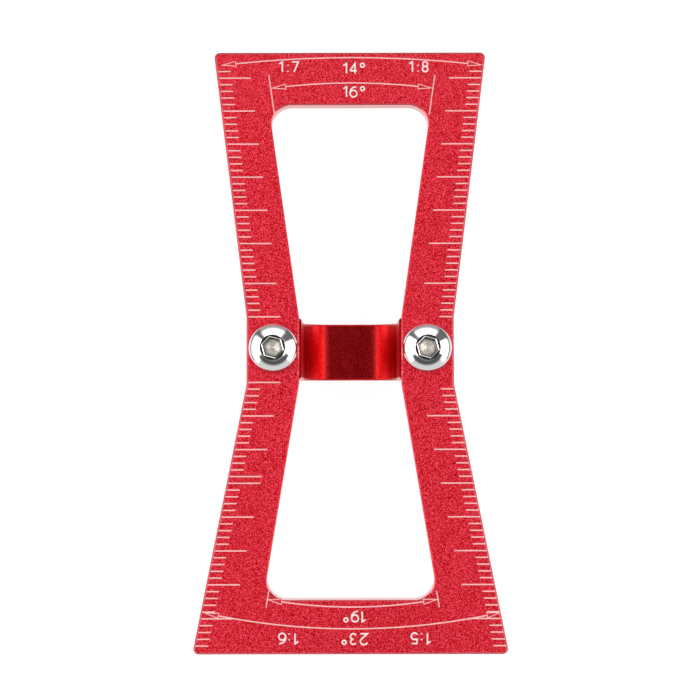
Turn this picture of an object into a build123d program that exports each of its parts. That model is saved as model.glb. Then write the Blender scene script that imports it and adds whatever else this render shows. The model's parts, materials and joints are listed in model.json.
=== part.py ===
"""Dovetail marker: an hourglass frame plate, a U-shaped fence block and two button-head screws.

The plate lies level on the fence block, which stands on the table. Its four pairs of sloping
edges give the dovetail slopes: 1:8 and 1:7 in the half towards +Y, 1:5 and 1:6 in the half
towards -Y. All sizes are in millimetres. X runs across the waist, Y along the plate and Z up
through its engraved face. The origin is straight below the plate's middle, at the level of the
fence's base. The fence and its screws sit a little off that middle, towards +Y.
"""

import os
from math import cos, pi, radians, sin, sqrt

from build123d import *

# Frame plate
plate_length = 90.0
plate_thickness = 2.5
waist_width = 31.0
waist_straight = 10.0
leg_width = 7.85
screw_inset = 4.0
end_bar = 8.0
outer_corner_radius = 0.8
window_corner_radius = 3.0
waist_blend_radius = 10.0
plate_chamfer = 0.3
window_chamfer = 0.2

# Dovetail ratios: distance along the plate over distance across it
outer_ratio_top = 8
window_ratio_top = 7
outer_ratio_bottom = 5
window_ratio_bottom = 6

# Fence block
fence_height = 20.0
fence_width = 9.2
fence_offset = 0.45
fence_setback = 0.5
fence_lip = 0.25
channel_floor = 3.0
channel_corner_radius = 4.0
fence_chamfer = 0.25

# M4 button-head screws
thread_diameter = 4.0
screw_length = 10.0
head_diameter = 7.3
head_height = 2.0
head_edge_radius = 0.85
head_edge_slope = 45
socket_across_flats = 2.5
socket_depth = 1.4
socket_mouth_diameter = 3.8
socket_mouth_depth = 0.35
socket_mouth_land = 0.03
socket_turn = -15.0
screw_tip_chamfer = 0.5
hole_clearance = 0.2
thread_clearance = 0.05
tapped_depth = 8.5

# Engraved graduations, counted from the one nearest the waist
engraving_depth = 0.08
line_width = 0.2
tick_pitch = 1.0
scale_zero = 4.9
short_tick = 1.9
long_tick = 4.8
tick_margin_left = 0.3
tick_margin_right = 0.25
top_tick_count = 37
bottom_tick_count = 39
top_long_ticks = [5, *range(11, top_tick_count, 5)]
bottom_long_ticks = list(range(5, bottom_tick_count, 5))
top_left_extra_ticks = [0]
bottom_left_extra_ticks = [0, 14]

# Engraved dimension arcs and figures
outer_arc_level_top = 44.0
window_arc_level_top = 40.15
window_arc_level_bottom = 38.2
outer_arc_level_bottom = 41.4
outer_arc_rise_top = 1.13
window_arc_rise_top = 0.78
window_arc_rise_bottom = 1.1
outer_arc_rise_bottom = 2.36
outer_arc_inset = 0.9
window_arc_inset = 0.7
witness_inset = 0.35
witness_start_top = 35.3
witness_start_bottom = 35.8
witness_end_top = 41.4
witness_end_bottom = 38.25
arrow_length = 2.0
arrow_width = 0.75
arrow_line_width = 0.14
figure_height = 1.55
figure_aspect = 0.66
one_aspect = 0.32
degree_ring_ratio = 0.19
colon_lead_ratio = 0.2
figure_gap_ratio = 0.35
figure_line_width = 0.24
ring_sides = 12
print_shift = 0.3
print_lift = 0.19
label_shift = 0.6
ratio_label_offset = 9.8
ratio_label_level_top = 42.6
ratio_label_level_bottom = 42.8
outer_angle_level_top = 42.35
window_angle_level_top = 38.8
window_angle_level_bottom = 39.6
outer_angle_level_bottom = 42.9

# Levels and half sizes that follow from the values above
half_length = plate_length / 2
half_waist = waist_width / 2
half_window = half_waist - leg_width
half_straight = waist_straight / 2
screw_spacing = waist_width - 2 * screw_inset
screw_spots = [(-screw_spacing / 2, fence_offset), (screw_spacing / 2, fence_offset)]
channel_width = 2 * (half_window - fence_lip)
window_end = half_length - end_bar
plate_back = fence_height
plate_front = plate_back + plate_thickness
channel_depth = fence_height - channel_floor
socket_floor_radius = socket_across_flats / 2 / cos(pi / 6) + socket_mouth_land

# Head profile: a dome round the screw's axis runs into a rounded edge where both slope alike
slope_sine = sin(radians(head_edge_slope))
slope_cosine = cos(radians(head_edge_slope))
head_edge_centre = head_diameter / 2 - head_edge_radius
dome_radius = head_edge_centre / slope_sine + head_edge_radius
dome_centre_height = head_height - sqrt(dome_radius**2 - (socket_mouth_diameter / 2) ** 2)
edge_start = (
    dome_radius * slope_sine,
    dome_centre_height + dome_radius * slope_cosine,
)
head_rim = dome_centre_height + (dome_radius - head_edge_radius) * slope_cosine


def half_width(start, ratio, distance):
    """Half width of a sloping pair of edges, distance millimetres from the plate's middle."""
    return start + max(0.0, distance - half_straight) / ratio


def hourglass(start, ratio_top, ratio_bottom, end, corner_radius):
    """Adds a closed hourglass to the sketch: straight at the waist, sloping to both ends."""
    top = half_width(start, ratio_top, end)
    bottom = half_width(start, ratio_bottom, end)
    with BuildLine() as outline:
        Polyline(
            (bottom, -end),
            (start, -half_straight),
            (start, half_straight),
            (top, end),
            (-top, end),
            (-start, half_straight),
            (-start, -half_straight),
            (-bottom, -end),
            close=True,
        )
    make_face(outline.line)
    corners = outline.vertices().group_by(Axis.Y)
    fillet(corners[0] + corners[-1], radius=corner_radius)
    fillet(corners[1] + corners[2], radius=waist_blend_radius)


def tick_row(side, direction, ratio, ticks, length):
    """Adds the ticks of one length along an outer edge, from the waist towards one end."""
    margin = tick_margin_right if side > 0 else tick_margin_left
    spots = []
    for tick in ticks:
        distance = scale_zero + tick * tick_pitch
        start = half_width(half_waist, ratio, distance) - margin
        spots.append((side * (start - length / 2), print_lift + direction * distance))
    with Locations(*spots):
        Rectangle(length, line_width)


def scale_rows(side, direction, ratio, ticks, long_ticks):
    """Adds the long and the short ticks of one scale."""
    tick_row(side, direction, ratio, long_ticks, long_tick)
    tick_row(side, direction, ratio, [t for t in ticks if t not in long_ticks], short_tick)


def straight_stroke(*points, width, closed=False):
    """Faces of one engraved stroke along straight lines."""
    with BuildLine(mode=Mode.PRIVATE) as pen:
        Polyline(*points, close=closed)
    return trace(pen.line, line_width=width, mode=Mode.PRIVATE).faces()


def arc_stroke(first, middle, last, width):
    """Faces of one engraved stroke along the arc through three points."""
    with BuildLine(mode=Mode.PRIVATE) as pen:
        ThreePointArc(first, middle, last)
    return trace(pen.line, line_width=width, mode=Mode.PRIVATE).faces()


def bowl_stroke(centre, radius, start, sweep, width):
    """Faces of one engraved stroke along part of a circle, its start and sweep in degrees."""
    with BuildLine(mode=Mode.PRIVATE) as pen:
        CenterArc(centre, radius, start, sweep)
    return trace(pen.line, line_width=width, mode=Mode.PRIVATE).faces()


def ring_stroke(centre, radius, width):
    """Faces of one engraved stroke around a closed ring with many short sides."""
    with BuildSketch(mode=Mode.PRIVATE) as ring:
        with Locations(centre):
            RegularPolygon(radius + width / 2, ring_sides)
            RegularPolygon(radius - width / 2, ring_sides, mode=Mode.SUBTRACT)
    return ring.faces()


def arrow_head(tip, base):
    """Open triangle from the middle of its base to its point at the tip."""
    across = (base - tip).normalized().rotate(Axis.Z, 90) * (arrow_width / 2)
    return straight_stroke(
        tip, base + across, base - across, width=arrow_line_width, closed=True
    )


def dimension_arc(start, ratio, level, rise, inset, direction):
    """Arc between one pair of slopes, with its two arrows, that rises to its level midway."""
    tip_x = half_width(start, ratio, level) - inset
    middle = Vector(print_shift, print_lift + direction * level)
    tip_y = print_lift + direction * (level - rise)
    left, right = (Vector(print_shift + side * tip_x, tip_y) for side in (-1, 1))
    with BuildLine(mode=Mode.PRIVATE):
        sweep = ThreePointArc(left, middle, right)
    left_base = sweep.position_at(arrow_length, position_mode=PositionMode.LENGTH)
    right_base = sweep.position_at(sweep.length - arrow_length, position_mode=PositionMode.LENGTH)
    return [
        *arc_stroke(left_base, middle, right_base, line_width),
        *arrow_head(left, left_base),
        *arrow_head(right, right_base),
    ]


def witness_line(ratio, near, far, direction, side):
    """Line that carries a window edge past the window's corner."""
    ends = []
    for level in (near, far):
        x = half_width(half_window, ratio, level) - witness_inset
        ends.append((print_shift + side * x, print_lift + direction * level))
    return straight_stroke(*ends, width=line_width)


def figure_strokes(symbol, width):
    """Faces of one figure in a cell that is figure_aspect wide and 1 high."""
    w = figure_aspect
    mid = w / 2
    if symbol == "1":
        return straight_stroke((0, 0.78), (one_aspect, 1), (one_aspect, 0), width=width)
    if symbol == "2":
        hook = bowl_stroke((mid, 0.71), mid, 165, -200, width)
        return hook + straight_stroke((0.9 * w, 0.54), (0, 0), (w, 0), width=width)
    if symbol == "3":
        upper = bowl_stroke((mid, 0.755), 0.245, 155, -245, width)
        return upper + bowl_stroke((mid, 0.27), 0.27, 90, -245, width)
    if symbol == "4":
        stem = 0.72 * w
        slant = straight_stroke((stem, 0), (stem, 1), (0, 0.28), width=width)
        return slant + straight_stroke((0, 0.28), (w, 0.28), width=width)
    if symbol == "5":
        flag = straight_stroke((0.92 * w, 1), (0.2 * w, 1), (0.1 * w, 0.52), width=width)
        return flag + bowl_stroke((mid, 0.31), 0.31, 138, -288, width)
    if symbol == "6":
        tail = arc_stroke((0, mid), (0.22 * w, 0.8), (0.94 * w, 0.98), width)
        return tail + ring_stroke((mid, mid), mid, width)
    if symbol == "7":
        return straight_stroke((0, 1), (w, 1), (0.36 * w, 0), width=width)
    if symbol == "8":
        return ring_stroke((mid, 0.76), 0.24, width) + ring_stroke((mid, 0.27), 0.27, width)
    if symbol == "9":
        tail = arc_stroke((w, 1 - mid), (0.78 * w, 0.2), (0.06 * w, 0.02), width)
        return tail + ring_stroke((mid, 1 - mid), mid, width)
    if symbol == ":":
        lead = colon_lead_ratio
        low = straight_stroke((lead, 0), (lead, 0.14), width=width)
        return low + straight_stroke((lead, 0.56), (lead, 0.7), width=width)
    ring = degree_ring_ratio
    return ring_stroke((ring, 1 - ring), ring, width)


def symbol_width(symbol):
    """Width of one figure in parts of the figure height."""
    special = {"1": one_aspect, ":": colon_lead_ratio, "°": 2 * degree_ring_ratio}
    return special.get(symbol, figure_aspect)


def figure_row(text, centre, turn):
    """Row of figures centred on a point and turned about it."""
    widths = [symbol_width(symbol) for symbol in text]
    start = -(sum(widths) + figure_gap_ratio * (len(text) - 1)) / 2
    marks = []
    for symbol, width in zip(text, widths):
        cell = Location((start * figure_height, -figure_height / 2))
        for stroke in figure_strokes(symbol, figure_line_width / figure_height):
            place = Location((centre[0], centre[1] + print_lift), turn)
            marks.append(place * cell * stroke.scale(figure_height))
        start += width + figure_gap_ratio
    return marks


def engraving():
    """Adds every graduation, arc and figure of the plate's face to the sketch."""
    top_ticks = range(top_tick_count + 1)
    bottom_ticks = range(bottom_tick_count + 1)
    top_left_long = top_left_extra_ticks + top_long_ticks
    bottom_left_long = bottom_left_extra_ticks + bottom_long_ticks
    scale_rows(-1, 1, outer_ratio_top, top_ticks, top_left_long)
    scale_rows(1, 1, outer_ratio_top, top_ticks, top_long_ticks)
    scale_rows(-1, -1, outer_ratio_bottom, bottom_ticks, bottom_left_long)
    scale_rows(1, -1, outer_ratio_bottom, bottom_ticks[1:], bottom_long_ticks)

    outer_top = (half_waist, outer_ratio_top, outer_arc_level_top, outer_arc_rise_top)
    window_top = (half_window, window_ratio_top, window_arc_level_top, window_arc_rise_top)
    outer_bottom = (
        half_waist, outer_ratio_bottom, outer_arc_level_bottom, outer_arc_rise_bottom
    )
    window_bottom = (
        half_window, window_ratio_bottom, window_arc_level_bottom, window_arc_rise_bottom
    )
    marks = [
        *dimension_arc(*outer_top, inset=outer_arc_inset, direction=1),
        *dimension_arc(*window_top, inset=window_arc_inset, direction=1),
        *dimension_arc(*outer_bottom, inset=outer_arc_inset, direction=-1),
        *dimension_arc(*window_bottom, inset=window_arc_inset, direction=-1),
    ]
    for side in (-1, 1):
        marks += witness_line(window_ratio_top, witness_start_top, witness_end_top, 1, side)
        marks += witness_line(
            window_ratio_bottom, witness_start_bottom, witness_end_bottom, -1, side
        )

    ratio_left = label_shift - ratio_label_offset
    ratio_right = label_shift + ratio_label_offset
    marks += figure_row("1:7", (ratio_left, ratio_label_level_top), 0)
    marks += figure_row("1:8", (ratio_right, ratio_label_level_top), 0)
    marks += figure_row("14°", (label_shift, outer_angle_level_top), 0)
    marks += figure_row("16°", (label_shift, window_angle_level_top), 0)
    marks += figure_row("1:6", (ratio_left, -ratio_label_level_bottom), 180)
    marks += figure_row("1:5", (ratio_right, -ratio_label_level_bottom), 180)
    marks += figure_row("23°", (label_shift, -outer_angle_level_bottom), 180)
    marks += figure_row("19°", (label_shift, -window_angle_level_bottom), 180)
    add(marks)


os.makedirs("parts", exist_ok=True)

# Frame plate, with its window, screw holes and engraved face
with BuildPart() as frame_plate:
    with BuildSketch(Plane.XY.offset(plate_back)):
        hourglass(
            half_waist, outer_ratio_top, outer_ratio_bottom, half_length, outer_corner_radius
        )
    extrude(amount=plate_thickness)
    with BuildSketch(Plane.XY.offset(plate_back)):
        hourglass(
            half_window, window_ratio_top, window_ratio_bottom, window_end, window_corner_radius
        )
    extrude(amount=plate_thickness, mode=Mode.SUBTRACT)
    flat_faces = frame_plate.faces().filter_by(Axis.Z)
    outer_edges = [edge for face in flat_faces for edge in face.outer_wire().edges()]
    window_edges = [
        edge for face in flat_faces for wire in face.inner_wires() for edge in wire.edges()
    ]
    chamfer(outer_edges, length=plate_chamfer)
    chamfer(window_edges, length=window_chamfer)
    with BuildSketch(Plane.XY.offset(plate_front)):
        with Locations(*screw_spots):
            Circle(thread_diameter / 2 + hole_clearance)
    extrude(amount=-plate_thickness, mode=Mode.SUBTRACT)
    with BuildSketch(Plane.XY.offset(plate_front)):
        engraving()
    extrude(amount=-engraving_depth, mode=Mode.SUBTRACT)
frame_plate.part.label = "frame_plate"
export_step(frame_plate.part, "parts/frame_plate.step")

# Fence block, a U-shaped section with a tapped hole down each leg
with BuildPart() as fence_block:
    with BuildSketch(Plane.XZ.offset(-fence_offset - fence_width / 2)):
        with Locations((0, fence_height / 2)):
            Rectangle(waist_width - 2 * fence_setback, fence_height)
        with Locations((0, channel_floor + channel_depth / 2)):
            Rectangle(channel_width, channel_depth, mode=Mode.SUBTRACT)
    extrude(amount=fence_width)
    long_edges = fence_block.edges().filter_by(Axis.Y)
    fillet(long_edges.group_by(Axis.Z)[1], radius=channel_corner_radius)
    chamfer(fence_block.faces().filter_by(Axis.Y).edges(), length=fence_chamfer)
    with BuildSketch(Plane.XY.offset(fence_height)):
        with Locations(*screw_spots):
            Circle(thread_diameter / 2 + thread_clearance)
    extrude(amount=-tapped_depth, mode=Mode.SUBTRACT)
fence_block.part.label = "fence_block"
export_step(fence_block.part, "parts/fence_block.step")

# Button-head screws, each with a hexagon socket
for spot, screw_name in zip(screw_spots, ("left_screw", "right_screw")):
    seat = Vector(*spot, plate_front)
    with BuildPart() as screw:
        with BuildSketch(Plane(origin=seat, x_dir=(1, 0, 0), z_dir=(0, -1, 0))):
            with BuildLine():
                Polyline(
                    (0, head_height - socket_mouth_depth),
                    (socket_floor_radius, head_height - socket_mouth_depth),
                    (socket_mouth_diameter / 2, head_height),
                )
                RadiusArc((socket_mouth_diameter / 2, head_height), edge_start, dome_radius)
                RadiusArc(edge_start, (head_diameter / 2, head_rim), head_edge_radius)
                Polyline(
                    (head_diameter / 2, head_rim),
                    (head_diameter / 2, 0),
                    (thread_diameter / 2, 0),
                    (thread_diameter / 2, screw_tip_chamfer - screw_length),
                    (thread_diameter / 2 - screw_tip_chamfer, -screw_length),
                    (0, -screw_length),
                    (0, head_height - socket_mouth_depth),
                )
            make_face()
        revolve(axis=Axis(seat, (0, 0, 1)))
        socket_mouth = Plane.XY.offset(plate_front + head_height - socket_mouth_depth)
        with BuildSketch(socket_mouth):
            with Locations(spot):
                RegularPolygon(
                    socket_across_flats / 2, 6, major_radius=False, rotation=socket_turn
                )
        extrude(amount=socket_mouth_depth - socket_depth, mode=Mode.SUBTRACT)
    screw.part.label = screw_name
    export_step(screw.part, f"parts/{screw_name}.step")
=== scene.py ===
"""Looks for the dovetail marker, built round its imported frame.

The frame's nodes give every size and place. This script dresses the frame plate and the fence
block, builds detailed button-head screws in place of the plain ones, and sets up the studio
and the camera of the photograph. All lengths are in metres.
"""

from __future__ import annotations

import json
import logging
from collections.abc import Iterable, Mapping
from dataclasses import dataclass, field
from math import asin, cos, pi, radians, sin, sqrt
from typing import Any

import bmesh
import bpy
from mathutils import Matrix, Vector

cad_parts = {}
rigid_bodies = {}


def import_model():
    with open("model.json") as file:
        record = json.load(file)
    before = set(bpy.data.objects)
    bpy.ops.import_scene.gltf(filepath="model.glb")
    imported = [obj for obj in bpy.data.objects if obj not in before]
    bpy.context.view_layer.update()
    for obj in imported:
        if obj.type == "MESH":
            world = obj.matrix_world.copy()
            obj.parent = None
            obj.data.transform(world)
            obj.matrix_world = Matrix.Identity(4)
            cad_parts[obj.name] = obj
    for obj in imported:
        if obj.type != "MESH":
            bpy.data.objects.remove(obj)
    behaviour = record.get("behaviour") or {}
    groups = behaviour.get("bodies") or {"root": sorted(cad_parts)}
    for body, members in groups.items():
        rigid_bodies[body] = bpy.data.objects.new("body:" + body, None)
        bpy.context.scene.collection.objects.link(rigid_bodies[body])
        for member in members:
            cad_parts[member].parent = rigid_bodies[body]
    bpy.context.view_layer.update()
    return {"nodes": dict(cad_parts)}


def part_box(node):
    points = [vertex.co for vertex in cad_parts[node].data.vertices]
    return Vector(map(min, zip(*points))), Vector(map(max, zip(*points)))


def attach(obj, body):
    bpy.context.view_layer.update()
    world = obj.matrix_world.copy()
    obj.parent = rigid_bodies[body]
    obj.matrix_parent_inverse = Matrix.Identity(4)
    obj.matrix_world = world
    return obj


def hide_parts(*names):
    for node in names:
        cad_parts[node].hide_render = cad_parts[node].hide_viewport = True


Colour = tuple[float, float, float]

MM = 0.001
HALF_TURN = 180.0
HEXAGON_STEP = pi / 3

log = logging.getLogger("dovetail_marker")


class Signal:
    """A number in a node tree, with the sums that the finishes use."""

    def __init__(self, graph: Graph, socket: bpy.types.NodeSocket) -> None:
        """Wraps an output socket of the graph."""
        self.graph = graph
        self.socket = socket

    def _math(self, operation: str, *operands: Signal | float) -> Signal:
        """Adds one Math node.

        Args:
            operation: The node's operation.
            operands: The numbers that it works on.

        Returns:
            Its result.
        """
        node = self.graph.node(
            "ShaderNodeMath", {"operation": operation}, dict(enumerate(operands))
        )
        return Signal(self.graph, node.outputs[0])

    def __add__(self, other: Signal | float) -> Signal:
        """Sum of two numbers."""
        return self._math("ADD", self, other)

    __radd__ = __add__

    def __sub__(self, other: Signal | float) -> Signal:
        """This number less another."""
        return self._math("SUBTRACT", self, other)

    def __rsub__(self, other: Signal | float) -> Signal:
        """Another number less this one."""
        return self._math("SUBTRACT", other, self)

    def __mul__(self, other: Signal | float) -> Signal:
        """Product of two numbers."""
        return self._math("MULTIPLY", self, other)

    __rmul__ = __mul__

    def __truediv__(self, other: Signal | float) -> Signal:
        """This number over another."""
        return self._math("DIVIDE", self, other)

    def __pow__(self, other: Signal | float) -> Signal:
        """This number to a power."""
        return self._math("POWER", self, other)

    def largest(self, other: Signal | float) -> Signal:
        """The larger of two numbers."""
        return self._math("MAXIMUM", self, other)

    def sine(self) -> Signal:
        """Sine of an angle in radians."""
        return self._math("SINE", self)

    def between(self, low: float, high: float) -> Signal:
        """Smooth step that rises from 0 at low to 1 at high.

        Args:
            low: Value where the step starts.
            high: Value where it ends; below low, the step falls instead.

        Returns:
            The step, from 0 to 1.
        """
        ends = {"From Min": min(low, high), "From Max": max(low, high)}
        step = self.graph.node(
            "ShaderNodeMapRange", {"interpolation_type": "SMOOTHSTEP"}, {"Value": self, **ends}
        )
        rising = Signal(self.graph, step.outputs[0])
        return rising if high > low else 1.0 - rising


class Graph:
    """The nodes of one material or world."""

    def __init__(self, tree: bpy.types.NodeTree) -> None:
        """Starts an empty graph in the node tree."""
        self.tree = tree
        tree.nodes.clear()

    def node(
        self,
        kind: str,
        settings: Mapping[str, Any] | None = None,
        inputs: Mapping[str | int, Any] | None = None,
    ) -> bpy.types.Node:
        """Adds a node.

        Args:
            kind: The node's type.
            settings: Its settings, set before its sockets. A ramp's are its stops.
            inputs: The value or the link of each socket, by name or number.

        Returns:
            The new node.
        """
        node = self.tree.nodes.new(kind)
        for name, value in (settings or {}).items():
            if name == "stops":
                self._set_stops(node.color_ramp, value)
            else:
                setattr(node, name, value)
        for name, value in (inputs or {}).items():
            if isinstance(value, Signal):
                value = value.socket
            if isinstance(value, bpy.types.NodeSocket):
                self.tree.links.new(value, node.inputs[name])
            elif isinstance(value, tuple) and node.inputs[name].type == "RGBA":
                node.inputs[name].default_value = (*value, 1.0)
            else:
                node.inputs[name].default_value = value
        return node

    @staticmethod
    def _set_stops(ramp: bpy.types.ColorRamp, stops: Iterable[tuple[float, Colour]]) -> None:
        """Gives a colour ramp its stops.

        Args:
            ramp: The ramp, which starts with two stops.
            stops: Position and colour of each stop.
        """
        for number, (position, colour) in enumerate(stops):
            stop = ramp.elements[number] if number < 2 else ramp.elements.new(position)
            stop.position = position
            stop.color = (*colour, 1.0)

    def signal(self, node: bpy.types.Node, output: str | int = 0) -> Signal:
        """A node's output as a number for sums."""
        return Signal(self, node.outputs[output])

    def place(self) -> bpy.types.NodeSocket:
        """Point on the object, in the object's own metres."""
        return self.node("ShaderNodeTexCoord").outputs["Object"]

    def parts_of(self, vector: bpy.types.NodeSocket) -> tuple[Signal, Signal, Signal]:
        """The X, Y and Z of a vector."""
        split = self.node("ShaderNodeSeparateXYZ", None, {0: vector})
        return self.signal(split, 0), self.signal(split, 1), self.signal(split, 2)

    def noise(self, grain: float, detail: float) -> Signal:
        """Noise over the object.

        Args:
            grain: Rough size of one grain.
            detail: Number of finer layers on top.

        Returns:
            Noise about 0.5.
        """
        mapped = self.node(
            "ShaderNodeMapping",
            {"vector_type": "TEXTURE"},
            {"Vector": self.place(), "Scale": (grain, grain, grain)},
        )
        node = self.node(
            "ShaderNodeTexNoise",
            None,
            {"Vector": mapped.outputs[0], "Scale": 1.0, "Detail": detail},
        )
        return self.signal(node)

    def mix(self, factor: Signal, first: Any, second: Any) -> bpy.types.NodeSocket:
        """Blends two colours.

        Args:
            factor: 0 for the first colour, 1 for the second.
            first: A colour or a colour socket.
            second: A colour or a colour socket.

        Returns:
            The blended colour.
        """
        node = self.node("ShaderNodeMix", {"data_type": "RGBA"}, {0: factor, 6: first, 7: second})
        return node.outputs[2]

    def ramp(
        self, factor: Signal, stops: Iterable[tuple[float, Colour]]
    ) -> bpy.types.NodeSocket:
        """Colour from a ramp with the given stops."""
        return self.node("ShaderNodeValToRGB", {"stops": stops}, {0: factor}).outputs[0]

    def bump(self, height: Signal, distance: float, strength: float) -> bpy.types.NodeSocket:
        """Normal of a surface with a fine relief.

        Args:
            height: The relief, from 0 to 1.
            distance: Depth of the relief.
            strength: Share of it that shows.

        Returns:
            The normal.
        """
        inputs = {"Height": height, "Distance": distance, "Strength": strength}
        return self.node("ShaderNodeBump", None, inputs).outputs[0]


def new_material(name: str) -> tuple[bpy.types.Material, Graph]:
    """Makes an empty node material.

    Args:
        name: The material's name.

    Returns:
        The material and its graph.
    """
    material = bpy.data.materials.new(name)
    material.use_nodes = True
    return material, Graph(material.node_tree)


def grey(level: float) -> Colour:
    """A neutral colour."""
    return (level, level, level)


@dataclass(frozen=True)
class FigureRow:
    """A row of engraved figures, which hold more paint than the fine lines round them.

    Low and high are its edges along Y, and reach is its half width along X.
    """

    low: float
    high: float
    reach: float
    fade: float = 0.02 * MM

    def mask(self, x: Signal, y: Signal) -> Signal:
        """Where the row lies.

        Args:
            x: Place across the plate.
            y: Place along the plate.

        Returns:
            1 on the row and 0 beside it.
        """
        right_of = x.between(-self.reach, self.fade - self.reach)
        left_of = x.between(self.reach, self.reach - self.fade)
        above = y.between(self.low, self.low + self.fade)
        below = y.between(self.high, self.high - self.fade)
        return right_of * left_of * above * below


@dataclass(frozen=True)
class BlastedAnodising:
    """Bead-blasted red anodised aluminium with pale engraved marks.

    The stops are levels of the speckle. The paint lies between shares of the engraving's depth,
    and the facings are the upward parts of the faces' normals.
    """

    body: Colour = (0.70, 0.0075, 0.018)
    dark_grain: Colour = (0.27, 0.0, 0.001)
    bright_grain: Colour = (0.93, 0.098, 0.148)
    dark_stop: float = 0.38
    body_stop: float = 0.5
    bright_stop: float = 0.61
    figure_paint: Colour = (0.86, 0.78, 0.77)
    line_paint: Colour = (0.85, 0.50, 0.49)
    figure_rows: tuple[FigureRow, ...] = (
        FigureRow(41.7 * MM, 43.6 * MM, 12.6 * MM),
        FigureRow(38.1 * MM, 39.9 * MM, 3.2 * MM),
        FigureRow(-40.3 * MM, -38.5 * MM, 3.2 * MM),
        FigureRow(-43.6 * MM, -41.7 * MM, 12.6 * MM),
    )
    paint_top: tuple[float, float] = (0.4, 0.8)
    paint_bottom: tuple[float, float] = (1.6, 1.2)
    painted_facing: tuple[float, float] = (0.9, 0.95)
    level_facing: tuple[float, float] = (0.75, 0.95)
    grain: float = 0.115 * MM
    grain_detail: float = 2.0
    coarse_grain: float = 0.345 * MM
    coarse_detail: float = 1.0
    coarse_share: float = 0.12
    relief: float = 0.02 * MM
    relief_strength: float = 0.8
    side_relief: float = 0.4
    roughness: float = 0.52
    side_roughness: float = 0.34
    face_coat: float = 0.12
    coat_roughness: float = 0.05
    coat_index: float = 1.7

    def material(self, face_level: float, engraving_depth: float) -> bpy.types.Material:
        """Makes the finish.

        Args:
            face_level: Height of the engraved face.
            engraving_depth: Depth of its marks.

        Returns:
            The material.
        """
        material, graph = new_material("blasted_red")
        grain = graph.noise(self.grain, self.grain_detail)
        coarse = graph.noise(self.coarse_grain, self.coarse_detail)
        speckle = grain * (1.0 - self.coarse_share) + coarse * self.coarse_share
        stops = [
            (self.dark_stop, self.dark_grain),
            (self.bright_stop, self.bright_grain),
            (self.body_stop, self.body),
        ]
        colour = graph.ramp(speckle, stops)

        x, y, height = graph.parts_of(graph.place())
        facing = graph.parts_of(graph.node("ShaderNodeNewGeometry").outputs["True Normal"])[2]
        depth = (face_level - height) / engraving_depth
        painted = depth.between(*self.paint_top) * depth.between(*self.paint_bottom)
        marked = painted * facing.between(*self.painted_facing)
        level = facing.between(*self.level_facing)
        figures: Signal | float = 0.0
        for row in self.figure_rows:
            figures = row.mask(x, y) + figures
        paint = graph.mix(figures, self.line_paint, self.figure_paint)

        relief = speckle * (self.side_relief + level * (1.0 - self.side_relief))
        shader = graph.node(
            "ShaderNodeBsdfPrincipled",
            None,
            {
                "Base Color": graph.mix(marked, colour, paint),
                "Metallic": 1.0 - marked,
                "Roughness": self.side_roughness + level * (self.roughness - self.side_roughness),
                "Coat Weight": 1.0 - level * (1.0 - self.face_coat),
                "Coat Roughness": self.coat_roughness,
                "Coat IOR": self.coat_index,
                "Normal": graph.bump(relief, self.relief, self.relief_strength),
            },
        )
        graph.node("ShaderNodeOutputMaterial", None, {"Surface": shader.outputs[0]})
        return material


@dataclass(frozen=True)
class SatinAnodising:
    """Satin, deep red anodised aluminium, a little worn in fine grains and in wider clouds."""

    body: Colour = (0.38, 0.0, 0.001)
    worn: Colour = (0.88, 0.022, 0.03)
    grain: float = 0.14 * MM
    grain_detail: float = 2.0
    grain_levels: tuple[float, float] = (0.36, 0.68)
    cloud: float = 1.68 * MM
    cloud_detail: float = 3.0
    cloud_levels: tuple[float, float] = (0.4, 0.8)
    cloud_share: float = 0.2
    relief: float = 0.02 * MM
    relief_strength: float = 0.6
    roughness: float = 0.28
    grain_roughness: float = 0.08
    coat: float = 0.24
    coat_roughness: float = 0.25
    coat_index: float = 1.5

    def material(self) -> bpy.types.Material:
        """Makes the finish.

        Returns:
            The material.
        """
        material, graph = new_material("satin_red")
        grain = graph.noise(self.grain, self.grain_detail)
        cloud = graph.noise(self.cloud, self.cloud_detail)
        fine = grain.between(*self.grain_levels) * (1.0 - self.cloud_share)
        wide = cloud.between(*self.cloud_levels) * self.cloud_share
        shader = graph.node(
            "ShaderNodeBsdfPrincipled",
            None,
            {
                "Base Color": graph.mix(fine + wide, self.body, self.worn),
                "Metallic": 1.0,
                "Roughness": self.roughness + grain * self.grain_roughness,
                "Coat Weight": self.coat,
                "Coat Roughness": self.coat_roughness,
                "Coat IOR": self.coat_index,
                "Normal": graph.bump(grain, self.relief, self.relief_strength),
            },
        )
        graph.node("ShaderNodeOutputMaterial", None, {"Surface": shader.outputs[0]})
        return material


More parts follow.
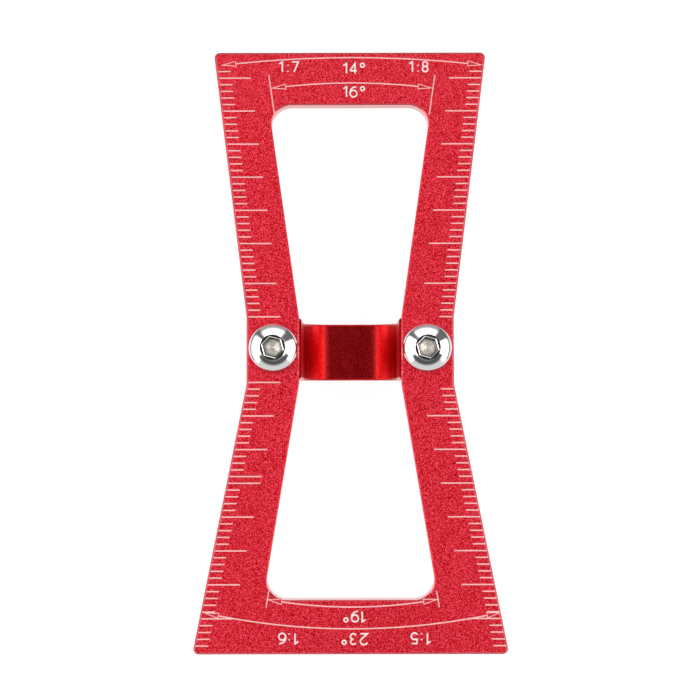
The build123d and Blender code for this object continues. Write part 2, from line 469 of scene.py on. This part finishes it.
@dataclass(frozen=True)
class PolishedStainless:
    """Polished stainless steel, duller and warmer in the bottom of a socket, with painted shade on
    the socket's walls.

    Turning and relief are the spacing and depth of the lathe's rings. Chatter is the broach's
    rough ground in the socket.
    """

    body: Colour = (0.80, 0.80, 0.795)
    socket_bottom: Colour = (0.84, 0.78, 0.70)
    socket_shade: Colour = (0.64, 0.58, 0.51)
    # Near black on the socket's walls: painted shade for the socket's depth, not the steel's own
    # colour.
    socket_wall_painted_shade: Colour = (0.10, 0.095, 0.09)
    socket_reach: float = 1.75 * MM
    reach_fade: float = 0.05 * MM
    below_socket: float = 1.0 * MM
    below_fade: float = 0.1 * MM
    wall_fade: float = 0.01 * MM
    bottom_reach: float = 0.04 * MM
    bottom_fade: float = 0.02 * MM
    turning: float = 0.05 * MM
    relief: float = 0.0006 * MM
    relief_strength: float = 0.5
    chatter: float = 0.35 * MM
    chatter_detail: float = 2.0
    chatter_levels: tuple[float, float] = (0.35, 0.6)
    socket_relief: float = 0.008 * MM
    socket_relief_strength: float = 0.8
    smudge: float = 0.7 * MM
    smudge_detail: float = 3.0
    roughness: float = 0.07
    smudge_roughness: float = 0.05
    socket_roughness: float = 0.26

    def material(self, axis: Vector, floor_level: float, wall_top: float) -> bpy.types.Material:
        """Makes the finish for one screw.

        Args:
            axis: A point on the screw's axis.
            floor_level: Height of the socket's bottom.
            wall_top: Height where the socket's walls end and its bevel starts.

        Returns:
            The material.
        """
        material, graph = new_material("polished_steel")
        x, y, z = graph.parts_of(graph.place())
        radius = ((x - axis.x) ** 2.0 + (y - axis.y) ** 2.0) ** 0.5
        inside = radius.between(self.socket_reach, self.socket_reach - self.reach_fade)
        lowest = floor_level - self.below_socket
        above = z.between(lowest, lowest + self.below_fade)
        below_bevel = z.between(wall_top + self.wall_fade, wall_top - self.wall_fade)
        socket = inside * above * below_bevel
        bottom_edge = floor_level + self.bottom_reach
        bottom = z.between(bottom_edge, bottom_edge - self.bottom_fade)
        rings = (radius * (2.0 * pi / self.turning)).sine() * 0.5 + 0.5
        smudge = graph.noise(self.smudge, self.smudge_detail)
        chatter = graph.noise(self.chatter, self.chatter_detail)
        bottom_colour = graph.mix(
            chatter.between(*self.chatter_levels), self.socket_shade, self.socket_bottom
        )
        # The socket's walls get the near-black painted shade, and its bottom keeps its grained
        # colour.
        socket_colour_and_painted_shade = graph.mix(bottom, self.socket_wall_painted_shade, bottom_colour)
        polished = graph.bump(rings, self.relief, self.relief_strength)
        broached = graph.node(
            "ShaderNodeBump",
            None,
            {
                "Height": chatter * socket * bottom,
                "Distance": self.socket_relief,
                "Strength": self.socket_relief_strength,
                "Normal": polished,
            },
        )
        roughness = (
            self.roughness + smudge * self.smudge_roughness + socket * self.socket_roughness
        )
        shader = graph.node(
            "ShaderNodeBsdfPrincipled",
            None,
            {
                "Base Color": graph.mix(socket, self.body, socket_colour_and_painted_shade),
                "Metallic": 1.0,
                "Roughness": roughness,
                "Normal": broached.outputs[0],
            },
        )
        graph.node("ShaderNodeOutputMaterial", None, {"Surface": shader.outputs[0]})
        return material


@dataclass
class FramePlate:
    """The hourglass plate, whose node keeps its shape and gets its finish."""

    node: bpy.types.Object
    engraving_depth: float = 0.08 * MM
    finish: BlastedAnodising = field(default_factory=BlastedAnodising)

    def build(self) -> bpy.types.Object:
        """Dresses the node.

        Returns:
            The node.
        """
        face_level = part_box(self.node.name)[1].z
        dress(self.node, self.finish.material(face_level, self.engraving_depth))
        return self.node


@dataclass
class FenceBlock:
    """The U-shaped block, whose node keeps its shape and gets its finish."""

    node: bpy.types.Object
    finish: SatinAnodising = field(default_factory=SatinAnodising)

    def build(self) -> bpy.types.Object:
        """Dresses the node."""
        dress(self.node, self.finish.material())
        return self.node


def dress(piece: bpy.types.Object, material: bpy.types.Material) -> None:
    """Gives the whole piece one material."""
    piece.data.materials.clear()
    piece.data.materials.append(material)


class ProfilePen:
    """Draws half of a turned piece's outline in a bmesh, in the plane of X and Z."""

    def __init__(self, shape: bmesh.types.BMesh, radius: float, height: float) -> None:
        """Starts the outline at a radius and a height."""
        self.shape = shape
        self.last = shape.verts.new((radius, 0.0, height))

    def line(self, radius: float, height: float) -> None:
        """Draws a straight line.

        Args:
            radius: Radius of its end.
            height: Height of its end.
        """
        vertex = self.shape.verts.new((radius, 0.0, height))
        self.shape.edges.new((self.last, vertex))
        self.last = vertex

    def arc(self, centre: tuple[float, float], angle: float, steps: int) -> None:
        """Draws an arc.

        Args:
            centre: Radius and height of the arc's centre.
            angle: Angle it turns through, in radians, positive from the axis outwards and down.
            steps: Number of straight pieces.
        """
        made = bmesh.ops.spin(
            self.shape,
            geom=[self.last],
            cent=(centre[0], 0.0, centre[1]),
            axis=(0.0, 1.0, 0.0),
            angle=angle,
            steps=steps,
        )
        self.last = next(g for g in made["geom_last"] if isinstance(g, bmesh.types.BMVert))


@dataclass
class ButtonScrew:
    """A button-head screw with a hexagon socket and a cut thread."""

    name: str
    node: str
    seat_level: float
    edge_radius: float = 0.85 * MM
    edge_slope: float = 45.0
    foot_chamfer: float = 0.04 * MM
    mouth_radius: float = 1.9 * MM
    bevel_across_flats: float = 3.0 * MM
    bevel_width: float = 0.12 * MM
    bevel_drop: float = 0.09 * MM
    socket_across_flats: float = 2.5 * MM
    bottom_across_flats: float = 2.3 * MM
    lead_in: float = 0.34 * MM
    socket_depth: float = 1.4 * MM
    socket_turn: float = 15.0
    drill_radius: float = 0.9 * MM
    drill_depth: float = 0.28 * MM
    drill_tip: float = 0.02 * MM
    pitch: float = 0.7 * MM
    thread_depth: float = 0.4 * MM
    thread_radius: float = 2.0 * MM
    thread_sink: float = 0.05 * MM
    thread_gap: float = 0.4 * MM
    thread_start_ratio: float = 0.6
    root_ratio: float = 0.46
    crest_ratio: float = 0.06
    tip_chamfer: float = 0.5 * MM
    segments: int = 96
    dome_steps: int = 12
    edge_steps: int = 8
    thread_steps: int = 48
    sharp_angle: float = 24.0
    finish: PolishedStainless = field(default_factory=PolishedStainless)

    def __post_init__(self) -> None:
        """Reads the screw's place and size from its node."""
        low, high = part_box(self.node)
        self.axis = Vector(((low.x + high.x) / 2, (low.y + high.y) / 2, self.seat_level))
        self.head_radius = (high.x - low.x) / 2
        self.head_height = high.z - self.seat_level
        self.length = self.seat_level - low.z

    def build(self) -> bpy.types.Object:
        """Makes the screw, in place of its node.

        Returns:
            The screw.
        """
        shape = bmesh.new()
        self._turn_body(shape)
        self._cut_socket(shape)
        bmesh.ops.recalc_face_normals(shape, faces=shape.faces)
        self._cut_thread(shape)
        bmesh.ops.translate(shape, verts=shape.verts, vec=self.axis)
        for face in shape.faces:
            face.smooth = True

        mesh = bpy.data.meshes.new(self.name)
        shape.to_mesh(mesh)
        shape.free()
        mesh.set_sharp_from_angle(angle=radians(self.sharp_angle))
        screw = bpy.data.objects.new(self.name, mesh)
        bpy.context.scene.collection.objects.link(screw)
        top = self.axis.z + self.head_height
        finish = self.finish.material(self.axis, top - self.socket_depth, top - self.bevel_drop)
        dress(screw, finish)
        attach(screw, "root")
        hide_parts(self.node)
        return screw

    def _turn_body(self, shape: bmesh.types.BMesh) -> None:
        """Turns the head, its underside and the plain core of the shank.

        Args:
            shape: An empty mesh, which gets the body.
        """
        slope = radians(self.edge_slope)
        edge_centre = self.head_radius - self.edge_radius
        dome_radius = edge_centre / sin(slope) + self.edge_radius
        dome_centre = self.head_height - sqrt(dome_radius**2 - self.mouth_radius**2)
        rim = dome_centre + (dome_radius - self.edge_radius) * cos(slope)
        mouth_slope = asin(self.mouth_radius / dome_radius)
        core = self.thread_radius - self.thread_depth

        pen = ProfilePen(shape, self.mouth_radius, self.head_height)
        pen.arc((0.0, dome_centre), slope - mouth_slope, self.dome_steps)
        pen.arc((edge_centre, rim), pi / 2 - slope, self.edge_steps)
        pen.line(self.head_radius, self.foot_chamfer)
        pen.line(self.head_radius - self.foot_chamfer, 0.0)
        pen.line(core, 0.0)
        pen.line(core, self.tip_chamfer - self.length)
        pen.line(core - self.tip_chamfer, -self.length)
        outline = list(shape.verts) + list(shape.edges)
        tip = pen.last
        bmesh.ops.spin(
            shape,
            geom=outline,
            cent=(0.0, 0.0, 0.0),
            axis=(0.0, 0.0, 1.0),
            angle=2.0 * pi,
            steps=self.segments,
            use_merge=True,
        )
        bmesh.ops.holes_fill(
            shape,
            edges=[e for e in shape.edges if e.is_boundary and e.verts[0].co.z < tip.co.z / 2],
            sides=0,
        )

    def _cut_socket(self, shape: bmesh.types.BMesh) -> None:
        """Sinks the socket from the mouth: a bevelled hexagon with a drilled bottom.

        Args:
            shape: The turned body, open at the mouth.
        """
        top = self.head_height
        bevel = self.bevel_across_flats / 2
        flat = self.socket_across_flats / 2
        bottom = self.bottom_across_flats / 2
        floor = top - self.socket_depth
        ring = [edge for edge in shape.edges if edge.is_boundary]
        ring = self._step_in(shape, ring, top, bevel, None)
        ring = self._step_in(shape, ring, top - self.bevel_drop, bevel - self.bevel_width, None)
        ring = self._step_in(shape, ring, top - self.lead_in, flat, None)
        ring = self._step_in(shape, ring, floor, bottom, None)
        ring = self._step_in(shape, ring, floor, None, self.drill_radius)
        ring = self._step_in(shape, ring, floor - self.drill_depth, None, self.drill_tip)
        bmesh.ops.holes_fill(shape, edges=ring, sides=0)

    def _step_in(
        self,
        shape: bmesh.types.BMesh,
        ring: list[bmesh.types.BMEdge],
        height: float,
        apothem: float | None,
        radius: float | None,
    ) -> list[bmesh.types.BMEdge]:
        """Extrudes a ring of edges to a new height and outline.

        Args:
            shape: The screw so far.
            ring: Edges of the open ring.
            height: Height of the new ring.
            apothem: Half the width across flats, where the new ring is a hexagon.
            radius: Radius, where it is a circle.

        Returns:
            Edges of the new ring.
        """
        made = bmesh.ops.extrude_edge_only(shape, edges=ring)["geom"]
        for vertex in (g for g in made if isinstance(g, bmesh.types.BMVert)):
            flat_place = Vector((vertex.co.x, vertex.co.y, 0.0))
            if apothem is None:
                reach = radius
            else:
                bearing = Vector((1.0, 0.0)).angle_signed(flat_place.xy)
                around = (-bearing + radians(self.socket_turn)) % HEXAGON_STEP
                reach = apothem / cos(around - HEXAGON_STEP / 2)
            vertex.co = flat_place.normalized() * reach + Vector((0.0, 0.0, height))
        return [g for g in made if isinstance(g, bmesh.types.BMEdge) and g.is_boundary]

    def _cut_thread(self, shape: bmesh.types.BMesh) -> None:
        """Winds the thread's ridge round the core, run out at both ends.

        Args:
            shape: The closed body, which gets the ridge.
        """
        core = self.thread_radius - self.thread_depth - self.thread_sink
        start = self.tip_chamfer * self.thread_start_ratio - self.length
        turns = int((self.length - self.thread_gap - self.tip_chamfer) / self.pitch)
        steps = turns * self.thread_steps
        root, crest = self.pitch * self.root_ratio, self.pitch * self.crest_ratio
        section = [
            shape.verts.new((core, 0.0, start)),
            shape.verts.new((self.thread_radius, 0.0, start + root - crest)),
            shape.verts.new((self.thread_radius, 0.0, start + root + crest)),
            shape.verts.new((core, 0.0, start + 2.0 * root)),
        ]
        before = set(shape.verts)
        first = shape.faces.new(section)
        made = bmesh.ops.spin(
            shape,
            geom=[first, *first.edges, *first.verts],
            cent=(0.0, 0.0, 0.0),
            axis=(0.0, 0.0, 1.0),
            dvec=(0.0, 0.0, self.pitch / self.thread_steps),
            angle=2.0 * pi * turns,
            steps=steps,
        )
        last = [g for g in made["geom_last"] if isinstance(g, bmesh.types.BMVert)]
        for vertex in [*section, *last]:
            flat_place = Vector((vertex.co.x, vertex.co.y, 0.0))
            vertex.co = flat_place.normalized() * core + Vector((0.0, 0.0, vertex.co.z))
        added = [vertex for vertex in shape.verts if vertex not in before]
        ridge = {face for vertex in added for face in vertex.link_faces}
        bmesh.ops.recalc_face_normals(shape, faces=[*ridge])


@dataclass(frozen=True)
class TentPanel:
    """One lit stretch of the tent: where it is seen from the object and how bright it is.

    Bearings are in degrees anticlockwise from +X, and the top and the bottom in degrees from
    straight up.
    """

    bearing: float
    half_width: float
    top: float
    bottom: float
    strength: float
    softness: float = 4.0
    least_level: float = 0.001

    def mask(self, graph: Graph, direction: tuple[Signal, Signal, Signal]) -> Signal:
        """Where the panel is seen.

        Args:
            graph: Graph of the world.
            direction: Parts of the direction looked in.

        Returns:
            1 on the panel and 0 beside it.
        """
        x, y, z = direction
        seen = z.between(*reversed(self._fade(self.bottom)))
        if self.top > 0.0:
            seen = seen * z.between(*self._fade(self.top))
        if self.half_width >= HALF_TURN:
            return seen
        angle = radians(self.bearing)
        level = ((x * x + y * y) ** 0.5).largest(self.least_level)
        towards = (x * cos(angle) + y * sin(angle)) / level
        return seen * towards.between(*reversed(self._fade(self.half_width)))

    def _fade(self, angle: float) -> tuple[float, float]:
        """Cosines between which the panel's edge at an angle fades out."""
        half = self.softness / 2
        return cos(radians(max(angle - half, 0.0))), cos(radians(angle + half))


@dataclass(frozen=True)
class LightTent:
    """Soft studio light all round, with dim gaps between its panels and the dark lens overhead."""

    gap: float = 0.17
    white: float = 1.0
    overhead: TentPanel = TentPanel(0.0, HALF_TURN, 0.0, 50.0, 0.45, 8.0)
    near_low: TentPanel = TentPanel(272.0, 60.0, 62.0, 112.0, 0.8, 7.0)
    far_low: TentPanel = TentPanel(92.0, 36.0, 75.0, 112.0, 0.42, 7.0)
    far: TentPanel = TentPanel(92.0, 35.0, 40.0, 75.0, 2.2, 14.0)
    left: TentPanel = TentPanel(183.0, 37.0, 24.0, 84.0, 3.35, 12.0)
    right: TentPanel = TentPanel(353.0, 31.0, 18.0, 84.0, 2.8, 12.0)
    near: TentPanel = TentPanel(272.0, 66.0, 46.0, 66.0, 0.1, 12.0)
    lens: TentPanel = TentPanel(0.0, HALF_TURN, 0.0, 13.0, 0.03, 4.0)

    def build(self) -> None:
        """Makes the world: white to the camera, the tent to all else."""
        world = bpy.data.worlds.new("light_tent")
        world.use_nodes = True
        graph = Graph(world.node_tree)
        direction = graph.parts_of(graph.node("ShaderNodeTexCoord").outputs["Generated"])
        light: Signal | float = self.gap
        for panel in (
            self.overhead, self.near_low, self.far_low, self.far,
            self.left, self.right, self.near, self.lens,
        ):
            light = light + panel.mask(graph, direction) * (panel.strength - light)
        tent = graph.node("ShaderNodeBackground", None, {"Color": grey(1.0), "Strength": light})
        seen = graph.node(
            "ShaderNodeBackground", None, {"Color": grey(self.white), "Strength": 1.0}
        )
        rays = graph.node("ShaderNodeLightPath")
        mixed = graph.node(
            "ShaderNodeMixShader",
            None,
            {0: graph.signal(rays, "Is Camera Ray"), 1: tent.outputs[0], 2: seen.outputs[0]},
        )
        graph.node("ShaderNodeOutputWorld", None, {"Surface": mixed.outputs[0]})
        bpy.context.scene.world = world


@dataclass(frozen=True)
class Floor:
    """A plain pale floor that keeps a faint shadow."""

    half_width: float = 0.5
    half_length: float = 0.11
    squares: int = 8
    paper: float = 0.8
    glow: float = 0.92
    shadow: float = 0.12

    def build(self) -> bpy.types.Object:
        """Makes the floor under the object.

        Returns:
            The floor.
        """
        shape = bmesh.new()
        place = Matrix.Diagonal((self.half_width, self.half_length, 1.0, 1.0))
        bmesh.ops.create_grid(
            shape, x_segments=self.squares, y_segments=self.squares, size=1.0, matrix=place
        )
        mesh = bpy.data.meshes.new("floor")
        shape.to_mesh(mesh)
        shape.free()
        floor = bpy.data.objects.new("floor", mesh)
        bpy.context.scene.collection.objects.link(floor)
        dress(floor, self._material())
        return floor

    def _material(self) -> bpy.types.Material:
        """Makes paper that looks white to the camera and to polished metal.

        Returns:
            The material.
        """
        material, graph = new_material("pale_floor")
        paper = graph.node("ShaderNodeBsdfDiffuse", None, {"Color": grey(self.paper)})
        shaded = graph.node("ShaderNodeBsdfDiffuse", None, {"Color": grey(self.shadow)})
        glow = graph.node(
            "ShaderNodeEmission", None, {"Color": grey(1.0), "Strength": self.glow}
        )
        seen = graph.node("ShaderNodeAddShader", None, {0: glow.outputs[0], 1: shaded.outputs[0]})
        rays = graph.node("ShaderNodeLightPath")
        direct = (
            graph.signal(rays, "Is Camera Ray")
            .largest(graph.signal(rays, "Is Glossy Ray"))
            .largest(graph.signal(rays, "Is Transmission Ray"))
        )
        mixed = graph.node(
            "ShaderNodeMixShader", None, {0: direct, 1: paper.outputs[0], 2: seen.outputs[0]}
        )
        graph.node("ShaderNodeOutputMaterial", None, {"Surface": mixed.outputs[0]})
        return material


@dataclass(frozen=True)
class PhotoCamera:
    """The camera of the photograph, straight above and a little towards the near end."""

    distance: float = 190.27 * MM
    near_offset: float = 7.24 * MM
    side_offset: float = -0.045 * MM
    tilt: float = 2.21
    roll: float = -0.09
    lens: float = 65.6
    clip_start: float = 0.01
    clip_end: float = 20.0

    def build(self, face_level: float) -> None:
        """Places the camera.

        Args:
            face_level: Height of the engraved face, which it looks at.
        """
        data = bpy.data.cameras.new("photo_camera")
        data.lens = self.lens
        data.clip_start = self.clip_start
        data.clip_end = self.clip_end
        camera = bpy.data.objects.new("photo_camera", data)
        camera.location = (self.side_offset, -self.near_offset, face_level + self.distance)
        camera.rotation_euler = (radians(self.tilt), 0.0, radians(self.roll))
        bpy.context.scene.collection.objects.link(camera)
        bpy.context.scene.camera = camera


def clear_scene() -> None:
    """Removes what a new file starts with."""
    for item in list(bpy.data.objects):
        bpy.data.objects.remove(item, do_unlink=True)


def main() -> None:
    """Builds the looks round the frame, piece by piece."""
    logging.basicConfig(level=logging.INFO, format="%(message)s")
    clear_scene()
    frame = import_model()
    bpy.context.scene.view_settings.view_transform = "Standard"

    nodes = frame["nodes"]
    face_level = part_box("frame_plate")[1].z
    pieces = [
        FramePlate(nodes["frame_plate"]).build(),
        FenceBlock(nodes["fence_block"]).build(),
        ButtonScrew("left_button_screw", "left_screw", face_level).build(),
        ButtonScrew("right_button_screw", "right_screw", face_level).build(),
    ]
    for piece in pieces:
        log.info("%s: %d faces", piece.name, len(piece.data.polygons))

    Floor().build()
    LightTent().build()
    PhotoCamera().build(face_level)


if __name__ == "__main__":
    main()
